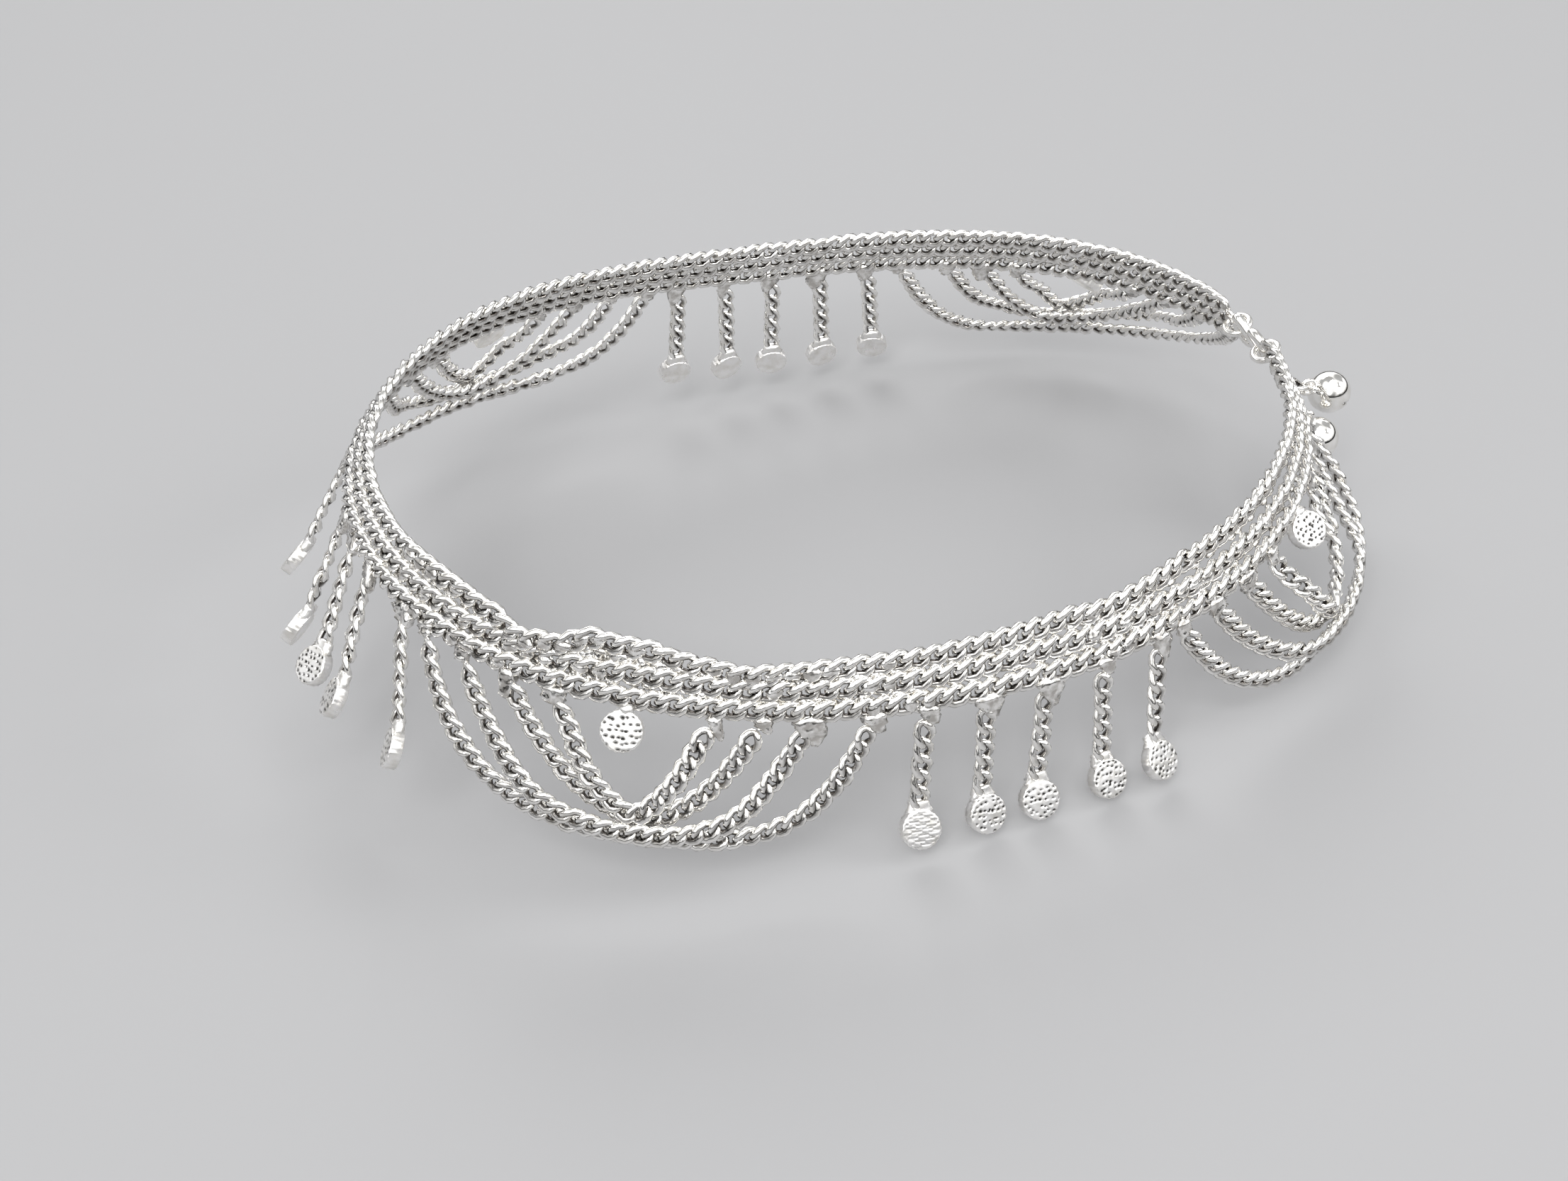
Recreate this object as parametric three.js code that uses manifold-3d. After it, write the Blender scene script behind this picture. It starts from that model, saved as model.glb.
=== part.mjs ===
// A worn silver charm anklet: a band of three curb-chain rows, four swags of four nested
// chains, three groups of five disc drops, two slit bells and an S-hook.
// Millimetres, +Z up. The origin is the middle of the loop, on the ankle's axis, +X points
// to the toes and -Y to the outer side of the ankle.
import * as THREE from 'three';
import { mergeVertices } from 'three/addons/utils/BufferGeometryUtils.js';
import Module from 'manifold-3d';

const wasm = await Module();
wasm.setup();

// Driving sizes.
const bandPitch = 1.557; // length of one curb link along the band
const rowWidth = 1.83; // one chain row, seen from outside
const rowCount = 3;
const bandWidth = rowWidth * rowCount;
const bandThickness = 1.15;
const rowGroove = 0.26; // how deep the joint between two rows lies
const bandFirstLink = -91.5; // the band's two ends, counted in links
const bandLastLink = 60.5;
const bandSteps = 54;
const wire = 0.5; // wire of every chain link

// The ankle under the loop. Each row is a wave round the ankle's axis:
// mean + cos1 cos a + sin1 sin a + cos2 cos 2a + sin2 sin 2a + cos3 cos 3a.
const ankle = {
  radius: { mean: 37.9, cos1: 0, sin1: 0, cos2: 5.4, sin2: 0.6, cos3: 0 },
  rise: { mean: 0, cos1: -3.0, sin1: 1.4, cos2: 1.4, sin2: -0.3, cos3: 0 },
  bandFlare: { mean: 27.5, cos1: -3.5, sin1: 2, cos2: 2.5, sin2: -7.5, cos3: -1.5 },
  dropFlare: { mean: 21.5, cos1: 2.5, sin1: 1, cos2: 16, sin2: -2, cos3: 2 },
};
const linkZeroAngle = THREE.MathUtils.degToRad(-147.9); // where link 0 of the band lies
const turn = 2 * Math.PI;
const nudge = 1e-4; // radians to either side of a point, for a direction

// Chain sizes in the drops and swags.
const linkLength = 2.7;
const dropLength = 11.8; // from the band's lower edge to the middle of a disc
const chainWidth = 1.75;
const chainThickness = 1.15;
const linkTwist = 0.42; // how far a link's corners rise out of its plane
const linkSides = 10;
const wireSides = 5;
const rodSides = 8;
const dropSteps = 4;
const tabLength = 1.3; // solder wedge that carries a chain
const tabRoot = 0.5; // how far the wedge reaches into the band
const tabWidth = 1.5;
const tabTip = 1.0;
const tabThickness = 0.7;
const seatGap = 0.3; // between two soldered pieces of different solids

const discRadius = 1.75;
const discThickness = 1.2;
const discSides = 14;
const neckLength = 0.7;
const neckTop = 0.9;
const neckFoot = 1.3;
const bell = { radius: 2.15, wall: 0.4, slit: 0.5, slitLength: 3.2, around: 12, rings: 8 };
const bellRing = { radius: 0.75, play: 0.12 }; // play is its gap to the link it hangs from

// The clasp: a ring across each end of the band and the S-hook between them.
const endRing = { radius: 1.25, wire: 0.7, reach: 0.95 };
const hook = { wire: 1, radius: 1.45, mouth: 130, waist: 80, steps: 26 };

// One row for each nested chain of a swag. left and right are the attachment points and low
// is the deepest point, in band links from the swag's middle; depth is in mm under the band;
// fullness is the power of the curve; lift is how far its bottom rides over the chain below.
const swagChains = [
  { left: -11.9, right: 11.9, low: 0.8, depth: 11.1, fullness: 3.6, lift: 0, steps: 12 },
  { left: -9.4, right: 8.6, low: 0.2, depth: 10.3, fullness: 2.5, lift: 1.3, steps: 10 },
  { left: -6.7, right: 6.2, low: 0.2, depth: 9.4, fullness: 1.8, lift: 0, steps: 9 },
  { left: -4.2, right: 3.8, low: 0, depth: 8.6, fullness: 1.4, lift: 1.3, steps: 8 },
];

// One row for each swag. slide moves the low points along the band, and squeeze narrows the
// right half of the swag.
const swags = [
  { name: 'front_outer', middle: 47.4, slide: -2.2, squeeze: 0.68 },
  { name: 'heel_outer', middle: 5.4, slide: 0, squeeze: 1 },
  { name: 'heel_inner', middle: -36.6, slide: 0, squeeze: 1 },
  { name: 'front_inner', middle: -78.6, slide: 1.5, squeeze: 1 },
];

// The drops of a group hang about dropSpacing links apart. tip is how far the discs' feet
// stand out, in degrees. Each drop has how far it swings to the right and how far its disc is
// turned about the chain, in degrees, and how far it hangs off its even place, in links.
const dropSpacing = 3.4;
const dropGroups = [
  {
    name: 'side_outer', middle: 26.9, tip: 25,
    drops: [[-6, 4, 0], [-4, -6, 0], [-6, 5, 0], [-2, -4, 0], [-8, -8, 0.2]],
  },
  {
    name: 'heel', middle: -14.9, tip: 12,
    drops: [[16, 8, 0], [13, 30, 1.7], [20, -20, 0.5], [18, 12, -0.5], [25, 25, -0.3]],
  },
  {
    name: 'side_inner', middle: -57.6, tip: 12,
    drops: [[-3, 6, 0], [-1, -5, 0], [2, 8, 0], [1, -6, 0], [4, 4, 0]],
  },
];

// One row for each bell: link of the band, lean from the vertical and swing to the right.
const bells = [
  { name: 'bell_upper', link: 59.8, lean: 66, swing: 6 },
  { name: 'bell_lower', link: 58.2, lean: 31, swing: -2 },
];

const silver = new THREE.MeshStandardMaterial({ color: 0xd9d9d6, metalness: 1, roughness: 0.22 });
const anklet = new THREE.Group();
const down = new THREE.Vector3(0, 0, -1);

// Turn a geometry into a solid, turned right side out, and a solid back into a geometry.
function solidOf(geometry) {
  geometry.deleteAttribute('normal');
  geometry.deleteAttribute('uv');
  const merged = mergeVertices(geometry, 1e-4);
  const index = merged.index.array;
  const spot = merged.attributes.position.array;
  if (signedVolume(spot, index) < 0) {
    for (let i = 0; i < index.length; i += 3) {
      [index[i], index[i + 1]] = [index[i + 1], index[i]];
    }
  }
  return new wasm.Manifold(new wasm.Mesh({
    numProp: 3,
    vertProperties: new Float32Array(spot),
    triVerts: new Uint32Array(index),
  }));
}

function signedVolume(spot, index) {
  const a = new THREE.Vector3();
  const b = new THREE.Vector3();
  const c = new THREE.Vector3();
  let volume = 0;
  for (let i = 0; i < index.length; i += 3) {
    a.fromArray(spot, 3 * index[i]);
    b.fromArray(spot, 3 * index[i + 1]);
    c.fromArray(spot, 3 * index[i + 2]);
    volume += a.dot(b.cross(c)) / 6;
  }
  return volume;
}

function addPiece(name, solid) {
  const mesh = solid.getMesh();
  const geometry = new THREE.BufferGeometry();
  geometry.setAttribute('position', new THREE.BufferAttribute(mesh.vertProperties, 3));
  geometry.setIndex(new THREE.BufferAttribute(mesh.triVerts, 1));
  geometry.computeVertexNormals();
  const piece = new THREE.Mesh(geometry, silver);
  piece.name = name;
  anklet.add(piece);
}

function joined(solids) {
  return solids.reduce((whole, solid) => whole.add(solid));
}

// Move every vertex of a geometry to place(x, y, z, u, v).
function reshaped(geometry, place) {
  const spot = geometry.attributes.position;
  const uv = geometry.attributes.uv;
  for (let i = 0; i < spot.count; i += 1) {
    const to = place(spot.getX(i), spot.getY(i), spot.getZ(i), uv.getX(i), uv.getY(i));
    spot.setXYZ(i, to.x, to.y, to.z);
  }
  return geometry;
}

function outline(points) {
  return new THREE.Shape(points.map(([x, y]) => new THREE.Vector2(x, y)));
}

// The ankle's surface.
function wave(row, angle) {
  return row.mean + row.cos1 * Math.cos(angle) + row.sin1 * Math.sin(angle)
    + row.cos2 * Math.cos(2 * angle) + row.sin2 * Math.sin(2 * angle)
    + row.cos3 * Math.cos(3 * angle);
}

function topEdge(angle) {
  const radius = wave(ankle.radius, angle);
  return new THREE.Vector3(
    radius * Math.cos(angle), radius * Math.sin(angle), wave(ankle.rise, angle));
}

// Length along the band's top edge from link 0, for angles one turn either way.
const arcSamples = 2880;
const arc = { angle: [], length: [] };
for (let i = 0; i <= arcSamples; i += 1) {
  const angle = linkZeroAngle + turn * (2 * i / arcSamples - 1);
  const step = i ? topEdge(angle).distanceTo(topEdge(arc.angle[i - 1])) : 0;
  arc.angle.push(angle);
  arc.length.push(i ? arc.length[i - 1] + step : 0);
}
const loopLength = arc.length[arcSamples / 2];

function angleAt(link) {
  const length = link * bandPitch + loopLength;
  const next = arc.length.findIndex((value) => value > length);
  const part = (length - arc.length[next - 1]) / (arc.length[next] - arc.length[next - 1]);
  return THREE.MathUtils.lerp(arc.angle[next - 1], arc.angle[next], part);
}

// Directions at a link: along the band, outward in plan, and the two flares in radians.
function stationAt(link) {
  const angle = angleAt(link);
  const along = topEdge(angle + nudge).sub(topEdge(angle - nudge)).normalize();
  return {
    edge: topEdge(angle),
    along,
    outward: new THREE.Vector3(along.y, -along.x, 0).normalize(),
    bandFlare: THREE.MathUtils.degToRad(wave(ankle.bandFlare, angle)),
    dropFlare: THREE.MathUtils.degToRad(wave(ankle.dropFlare, angle)),
  };
}

function slopeDown(station, flare) {
  return station.outward.clone().multiplyScalar(Math.sin(flare))
    .addScaledVector(down, Math.cos(flare));
}

function slopeOut(station, flare) {
  return station.outward.clone().multiplyScalar(Math.cos(flare))
    .addScaledVector(down, -Math.sin(flare));
}

// The point below the band's top edge by depth along the surface, and out from it.
function drape(link, depth, out) {
  const station = stationAt(link);
  const point = station.edge.clone()
    .addScaledVector(slopeDown(station, station.bandFlare), Math.min(depth, bandWidth));
  const below = Math.max(depth - bandWidth, 0);
  const flare = depth > bandWidth ? station.dropFlare : station.bandFlare;
  point.addScaledVector(slopeDown(station, station.dropFlare), below);
  return point.addScaledVector(slopeOut(station, flare), out);
}

// A frame for something that hangs from the band's lower edge: x runs down the chain, z out.
function hangFrame(link, swing, lean) {
  const station = stationAt(link);
  const flare = lean === undefined ? station.dropFlare : THREE.MathUtils.degToRad(lean);
  const side = THREE.MathUtils.degToRad(swing);
  const z = slopeOut(station, flare);
  const x = slopeDown(station, flare).multiplyScalar(Math.cos(side))
    .addScaledVector(station.along, Math.sin(side));
  x.addScaledVector(z, -x.dot(z)).normalize();
  const y = z.clone().cross(x);
  return new THREE.Matrix4().makeBasis(x, y, z).setPosition(drape(link, bandWidth, 0));
}

// Pieces of chain.
function linkCurve(t) {
  const half = (linkLength - wire) / 2;
  const side = (chainWidth - wire) / 2;
  return new THREE.Vector3(half * Math.cos(t), side * Math.sin(t), linkTwist * Math.sin(2 * t));
}

// One twisted link, its middle at distance along x.
function chainLink(distance) {
  const ring = new THREE.TorusGeometry(1, wire / 2, wireSides, linkSides);
  const up = new THREE.Vector3(0, 0, 1);
  const twisted = reshaped(ring, (x, y, z, u, v) => {
    const t = turn * (u + 0.5 / linkSides);
    const way = linkCurve(t + nudge).sub(linkCurve(t - nudge)).normalize();
    const flat = way.clone().cross(up).normalize();
    const rise = flat.clone().cross(way);
    return linkCurve(t)
      .addScaledVector(flat, wire / 2 * Math.cos(turn * v))
      .addScaledVector(rise, wire / 2 * Math.sin(turn * v));
  });
  return twisted.translate(distance, 0, 0);
}

// A flat wedge along x, from one place and width to another.
function wedge(from, fromWidth, to, toWidth) {
  const shape = outline([
    [from, -fromWidth / 2], [to, -toWidth / 2], [to, toWidth / 2], [from, fromWidth / 2],
  ]);
  const body = new THREE.ExtrudeGeometry(shape, { depth: tabThickness, bevelEnabled: false });
  return body.translate(0, 0, -tabThickness / 2);
}

// The solder that carries a chain: wide in the band, narrow at its tip.
function solderTab() {
  return wedge(-tabRoot, tabWidth, tabLength, tabTip);
}

function bandRows() {
  const crest = bandThickness / 2;
  const groove = crest - rowGroove;
  const shoulder = 0.28 * rowWidth;
  const front = [[0, 0]];
  for (let row = 0; row < rowCount; row += 1) {
    const middle = rowWidth * (row + 0.5);
    front.push([middle - shoulder, crest], [middle + shoulder, crest]);
    if (row < rowCount - 1) {
      front.push([middle + rowWidth / 2, groove]);
    }
  }
  front.push([bandWidth, 0], [bandWidth - shoulder, -crest], [shoulder, -crest]);
  const strip = new THREE.ExtrudeGeometry(outline(front), {
    depth: bandLastLink - bandFirstLink,
    steps: bandSteps,
    bevelEnabled: false,
  });
  return reshaped(strip, (x, y, z) => drape(bandFirstLink + z, x, y));
}

// Where a nested swag chain runs, for t from -1 at the left to 1 at the right.
function swagPoint(swag, row, t) {
  const middle = swag.middle;
  const left = middle + row.left;
  const right = middle + row.right * swag.squeeze;
  const low = middle + row.low + swag.slide;
  const link = t < 0 ? low + (low - left) * t : low + (right - low) * t;
  const depth = bandWidth + row.depth * (1 - Math.abs(t) ** row.fullness);
  const over = 1 - THREE.MathUtils.smoothstep(Math.abs(t), 0.45, 0.85);
  return { link, depth, out: row.lift * over };
}

function oval(width, thickness) {
  const points = [];
  for (let i = 0; i < rodSides; i += 1) {
    const angle = turn * (i + 0.5) / rodSides;
    points.push([width / 2 * Math.cos(angle), thickness / 2 * Math.sin(angle)]);
  }
  return outline(points);
}

// A straight oval rod one unit long, to be bent into a chain.
function chainRod(steps) {
  return new THREE.ExtrudeGeometry(oval(chainWidth, chainThickness), {
    depth: 1,
    steps,
    bevelEnabled: false,
  });
}

// A swag chain, from the tip of one wedge to the tip of the other.
function swagTube(swag, row) {
  const at = (t) => {
    const spot = swagPoint(swag, row, t);
    return drape(spot.link, spot.depth, spot.out);
  };
  const fine = 400;
  const points = [];
  for (let i = 0; i <= fine; i += 1) {
    points.push(at(2 * i / fine - 1));
  }
  const path = new THREE.CatmullRomCurve3(points);
  path.arcLengthDivisions = fine;
  const length = path.getLength();
  const trim = (tabLength + seatGap) / length;
  return reshaped(chainRod(row.steps), (x, y, z) => {
    const u = THREE.MathUtils.lerp(trim, 1 - trim, z);
    const t = 2 * path.getUtoTmapping(u) - 1;
    const station = stationAt(swagPoint(swag, row, t).link);
    const way = path.getTangentAt(u);
    const out = slopeOut(station, station.dropFlare);
    out.addScaledVector(way, -out.dot(way)).normalize();
    const side = way.clone().cross(out);
    return path.getPointAt(u).addScaledVector(side, x).addScaledVector(out, y);
  });
}

// A drop chain, turned evenly along its length.
function dropTube(frame, spin) {
  const from = tabLength + seatGap;
  const to = dropLength - discRadius - neckLength - seatGap;
  return reshaped(chainRod(dropSteps), (x, y, z) => {
    const about = THREE.MathUtils.degToRad(spin) * z;
    return new THREE.Vector3(THREE.MathUtils.lerp(from, to, z), x, y)
      .applyAxisAngle(new THREE.Vector3(1, 0, 0), about)
      .applyMatrix4(frame);
  });
}

// A charm disc, its middle at distance along x.
function charmDisc(distance) {
  const round = new THREE.CylinderGeometry(discRadius, discRadius, discThickness, discSides);
  return round.rotateX(Math.PI / 2).translate(distance, 0, 0);
}

// A disc that hangs at the end of a chain, with the neck it is soldered by.
function hangingDisc(frame, spin, tip) {
  const root = dropLength - discRadius - neckLength;
  const sunk = neckLength + discRadius / 4;
  const turned = frame.clone()
    .multiply(new THREE.Matrix4().makeTranslation(root, 0, 0))
    .multiply(new THREE.Matrix4().makeRotationX(THREE.MathUtils.degToRad(spin)))
    .multiply(new THREE.Matrix4().makeRotationY(THREE.MathUtils.degToRad(-tip)));
  return joined([wedge(0, neckTop, sunk, neckFoot), charmDisc(neckLength + discRadius)]
    .map((geometry) => solidOf(geometry.applyMatrix4(turned))));
}

// The band is one soldered solid: rows, wedges, the bells' links, small discs and end rings.
const bandParts = [solidOf(bandRows())];

function addToBand(frame, geometry) {
  bandParts.push(solidOf(geometry.applyMatrix4(frame)));
}

for (const swag of swags) {
  swagChains.forEach((row, i) => {
    for (const t of [-1, 1]) {
      const link = swagPoint(swag, row, t).link;
      addToBand(hangFrame(link, 0), solderTab());
    }
    addPiece(`swag_${swag.name}_chain_${i + 1}`, solidOf(swagTube(swag, row)));
  });
  const frame = hangFrame(swag.middle - 0.6, 0);
  addToBand(frame, charmDisc(discRadius - 0.2));
}

for (const group of dropGroups) {
  group.drops.forEach(([swing, spin, shift], i) => {
    const frame = hangFrame(group.middle + dropSpacing * (i - 2) + shift, swing);
    addToBand(frame, solderTab());
    addPiece(`drop_${group.name}_chain_${i + 1}`, solidOf(dropTube(frame, spin)));
    addPiece(`drop_${group.name}_disc_${i + 1}`, hangingDisc(frame, spin, group.tip));
  });
}

function ball(radius, middle) {
  return solidOf(new THREE.SphereGeometry(radius, bell.around, bell.rings)
    .translate(middle, 0, 0));
}

// A hollow bell with a slit across its lower half and a ring on top, along x.
function slitBell(ringEnd) {
  const ringMiddle = ringEnd + bellRing.radius;
  const middle = ringMiddle + bellRing.radius - wire / 4 + bell.radius;
  const slit = new THREE.BoxGeometry(2 * bell.radius, bell.slitLength, bell.slit);
  slit.translate(middle + 1.1 * bell.radius, 0, 0);
  const ring = new THREE.TorusGeometry(bellRing.radius, wire / 2, wireSides, linkSides);
  ring.rotateX(Math.PI / 2).translate(ringMiddle, 0, 0);
  return joined([ball(bell.radius, middle), solidOf(ring)])
    .subtract(ball(bell.radius - bell.wall, middle))
    .subtract(solidOf(slit));
}

for (const row of bells) {
  const frame = hangFrame(row.link, row.swing, row.lean);
  const linkMiddle = tabLength + linkLength / 2 - wire;
  const ringEnd = linkMiddle + linkLength / 2 - 1.5 * wire - bellRing.play;
  addToBand(frame, solderTab());
  addToBand(frame, chainLink(linkMiddle));
  addPiece(row.name, slitBell(ringEnd).transform(frame.elements.slice()));
}

// The two end rings stand across the band's ends.
function endFrame(link, sign) {
  const station = stationAt(link);
  const z = slopeOut(station, station.bandFlare);
  const x = station.along.clone().multiplyScalar(sign);
  x.addScaledVector(z, -x.dot(z)).normalize();
  const y = z.clone().cross(x);
  return new THREE.Matrix4().makeBasis(x, y, z).setPosition(drape(link, bandWidth / 2, 0));
}

const ringCentres = [[bandLastLink, 1], [bandFirstLink + loopLength / bandPitch, -1]]
  .map(([link, sign]) => {
    const frame = endFrame(link, sign);
    addToBand(frame, new THREE.TorusGeometry(endRing.radius, endRing.wire / 2, 6, 12)
      .rotateX(Math.PI / 2).translate(endRing.reach, 0, 0));
    return new THREE.Vector3(endRing.reach, 0, 0).applyMatrix4(frame);
  });

// An S of wire with a bow round each ring's far wire, reach on either side of its middle.
function sHook(reach) {
  const middle = reach - hook.radius;
  const bowPoints = 8;
  const bow = (sign, from, to) => Array.from({ length: bowPoints }, (_, i) => {
    const degrees = THREE.MathUtils.lerp(from, to, i / (bowPoints - 1));
    const angle = THREE.MathUtils.degToRad(degrees);
    return new THREE.Vector3(
      sign * (middle + hook.radius * Math.cos(angle)), sign * hook.radius * Math.sin(angle), 0);
  });
  const path = new THREE.CatmullRomCurve3([
    ...bow(-1, -hook.mouth, hook.waist), ...bow(1, hook.waist, -hook.mouth),
  ]);
  return new THREE.ExtrudeGeometry(oval(hook.wire, hook.wire), {
    steps: hook.steps,
    extrudePath: path,
  });
}

const gapMiddle = stationAt(bandLastLink + 2);
const hookMiddle = ringCentres[0].clone().add(ringCentres[1]).multiplyScalar(0.5);
const hookAlong = ringCentres[1].clone().sub(ringCentres[0]);
const hookReach = hookAlong.length() / 2;
const hookOut = slopeOut(gapMiddle, gapMiddle.bandFlare);
hookAlong.normalize();
hookOut.addScaledVector(hookAlong, -hookOut.dot(hookAlong)).normalize();
const hookFrame = new THREE.Matrix4()
  .makeBasis(hookAlong, hookOut.clone().cross(hookAlong), hookOut).setPosition(hookMiddle);
addPiece('clasp_hook', solidOf(sHook(hookReach).applyMatrix4(hookFrame)));

addPiece('band', joined(bandParts));

export default anklet;
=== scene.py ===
import bpy
import numpy as np
from mathutils import Matrix, Vector


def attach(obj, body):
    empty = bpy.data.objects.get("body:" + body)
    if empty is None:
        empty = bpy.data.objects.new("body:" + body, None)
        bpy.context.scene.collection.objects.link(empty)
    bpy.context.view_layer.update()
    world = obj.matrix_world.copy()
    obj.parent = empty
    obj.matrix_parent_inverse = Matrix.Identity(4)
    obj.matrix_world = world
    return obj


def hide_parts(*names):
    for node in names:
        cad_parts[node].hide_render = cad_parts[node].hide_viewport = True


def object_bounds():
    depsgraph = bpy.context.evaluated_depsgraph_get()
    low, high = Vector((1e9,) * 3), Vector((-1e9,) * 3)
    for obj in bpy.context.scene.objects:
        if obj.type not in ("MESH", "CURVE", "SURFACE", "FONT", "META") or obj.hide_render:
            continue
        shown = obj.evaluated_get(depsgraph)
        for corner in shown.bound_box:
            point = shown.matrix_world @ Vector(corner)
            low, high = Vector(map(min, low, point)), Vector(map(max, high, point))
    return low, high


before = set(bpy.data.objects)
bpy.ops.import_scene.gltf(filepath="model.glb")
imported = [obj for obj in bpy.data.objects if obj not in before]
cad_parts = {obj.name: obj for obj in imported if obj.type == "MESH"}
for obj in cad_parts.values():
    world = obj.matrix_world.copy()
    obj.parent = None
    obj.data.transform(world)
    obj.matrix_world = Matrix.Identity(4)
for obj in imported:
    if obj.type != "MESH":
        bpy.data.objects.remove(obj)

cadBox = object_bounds()
millimetre = 0.001
turn = 2 * np.pi
upward = np.array([0.0, 0.0, 1.0])
chance = np.random.default_rng(20)

# Every row is a wave round the ankle: mean + cos1 cos a + sin1 sin a + cos2 cos 2a + ...
ankle = {
    "radius": dict(mean=37.9, cos1=0, sin1=0, cos2=5.4, sin2=0.6, cos3=0),
    "rise": dict(mean=0, cos1=-3.0, sin1=1.4, cos2=1.4, sin2=-0.3, cos3=0),
    "bandFlare": dict(mean=27.5, cos1=-3.5, sin1=2, cos2=2.5, sin2=-7.5, cos3=-1.5),
    "dropFlare": dict(mean=21.5, cos1=2.5, sin1=1, cos2=16, sin2=-2, cos3=2),
    "linkZeroAngle": np.radians(-147.9),
}
band = {
    "pitch": 1.557,        # one link along the band
    "rowWidth": 1.83,
    "rows": 3,
    "firstLink": -91.5,
    "lastLink": 60.5,
    "pathPoints": 3000,
}
bandWidth = band["rowWidth"] * band["rows"]
arcTable = dict(stepsPerTurn=2880, nudge=1e-4)


def wave(row, angle):
    # the sum of a row's waves at an angle
    return (row["mean"] + row["cos1"] * np.cos(angle) + row["sin1"] * np.sin(angle)
            + row["cos2"] * np.cos(2 * angle) + row["sin2"] * np.sin(2 * angle)
            + row["cos3"] * np.cos(3 * angle))


def topEdge(angle):
    # radius and rise of the band's upper edge, turned into x, y, z
    radius, rise = wave(ankle["radius"], angle), wave(ankle["rise"], angle)
    return np.stack([radius * np.cos(angle), radius * np.sin(angle), rise], -1)


# the length along the edge, one turn to each side of link 0
arcAngles = ankle["linkZeroAngle"] + np.linspace(-turn, turn, 2 * arcTable["stepsPerTurn"] + 1)
arcSteps = np.linalg.norm(np.diff(topEdge(arcAngles), axis=0), axis=1)
arcLengths = np.concatenate([[0], np.cumsum(arcSteps)])
arcLengths -= arcLengths[arcTable["stepsPerTurn"]]
loopLength = arcLengths[-1]


def unit(v):
    # a vector over its own length
    return v / np.linalg.norm(v, axis=-1, keepdims=True)


def stationAt(link):
    # The band's upper edge at a link: the angle is looked up by the length along the edge.
    # along is the edge's direction, outward is level and square to it.
    angle = np.interp(np.asarray(link, float) * band["pitch"], arcLengths, arcAngles)
    along = unit(topEdge(angle + arcTable["nudge"]) - topEdge(angle - arcTable["nudge"]))
    return {
        "edge": topEdge(angle),
        "along": along,
        "outward": unit(np.stack([along[..., 1], -along[..., 0], 0 * along[..., 0]], -1)),
        "bandFlare": np.radians(wave(ankle["bandFlare"], angle)),
        "dropFlare": np.radians(wave(ankle["dropFlare"], angle)),
    }


def slopeDown(outward, flare):
    # down a slope that flares outward: outward sin flare - upward cos flare
    flare = np.asarray(flare)[..., None]
    return outward * np.sin(flare) - upward * np.cos(flare)


def slopeOut(outward, flare):
    # square to that slope: outward cos flare + upward sin flare
    flare = np.asarray(flare)[..., None]
    return outward * np.cos(flare) + upward * np.sin(flare)


def drape(link, depth, out=0.0):
    # depth runs down the band's slope to its lower edge and then down the drops' slope
    station = stationAt(link)
    edge, outward = station["edge"], station["outward"]
    depth = np.broadcast_to(np.asarray(depth, float), edge.shape[:-1])
    out = np.broadcast_to(np.asarray(out, float), edge.shape[:-1])
    onBand = np.minimum(depth, bandWidth)[..., None]
    below = np.maximum(depth - bandWidth, 0)[..., None]
    point = (edge + slopeDown(outward, station["bandFlare"]) * onBand
             + slopeDown(outward, station["dropFlare"]) * below)
    flare = np.where(depth > bandWidth, station["dropFlare"], station["bandFlare"])
    return point + slopeOut(outward, flare) * out[..., None]


def hangFrame(link, swing=0.0, lean=None):
    # origin on the band's lower edge; x runs down what hangs there, z out, y to the right
    station = stationAt(link)
    flare = station["dropFlare"] if lean is None else np.radians(lean)
    side = np.radians(swing)
    z = slopeOut(station["outward"], flare)
    x = slopeDown(station["outward"], flare) * np.cos(side) + station["along"] * np.sin(side)
    x = unit(x - z * (x @ z))
    return drape(link, bandWidth), x, np.cross(z, x), z


def addMesh(name, shape, material, nodes=()):
    # A shape is points in mm and faces, and may carry painted shade: how dark each point is
    # painted inside a link or pit.
    points, faces, *dark = shape
    mesh = bpy.data.meshes.new(name)
    mesh.from_pydata((points * millimetre).tolist(), [], [list(face) for face in faces])
    mesh.polygons.foreach_set("use_smooth", np.full(len(faces), True))
    if dark:
        # the painted shade goes on the mesh as a point attribute
        inside = mesh.attributes.new("paintedShade", "FLOAT", "POINT")
        inside.data.foreach_set("value", dark[0].astype(np.float32))
    mesh.materials.append(material)
    piece = bpy.data.objects.new(name, mesh)
    bpy.context.scene.collection.objects.link(piece)
    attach(piece, "root")
    if nodes:
        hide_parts(*nodes)
    return piece


def tubeFaces(count, rings, sides, closed):
    # quads of count equal tubes, each a grid of rings by sides; closed tubes join end to end
    ring = np.arange(rings if closed else rings - 1)[:, None]
    side = np.arange(sides)[None, :]
    nextRing = (ring + 1) % rings
    nextSide = (side + 1) % sides
    quads = np.stack([
        ring * sides + side, nextRing * sides + side,
        nextRing * sides + nextSide, ring * sides + nextSide,
    ], -1).reshape(-1, 4)
    return (quads[None] + (np.arange(count) * rings * sides)[:, None, None]).reshape(-1, 4)


def capped(grid):
    # a grid of rings by sides as a closed body: a point in the middle closes each end
    rings, sides = grid.shape[:2]
    points = np.concatenate([grid.reshape(-1, 3), [grid[0].mean(0), grid[-1].mean(0)]])
    around = np.arange(sides)
    after = (around + 1) % sides
    last = (rings - 1) * sides
    start = np.stack([np.full(sides, rings * sides), around, after], -1)
    end = np.stack([np.full(sides, rings * sides + 1), last + after, last + around], -1)
    return points, tubeFaces(1, rings, sides, False).tolist() + start.tolist() + end.tolist()


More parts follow.
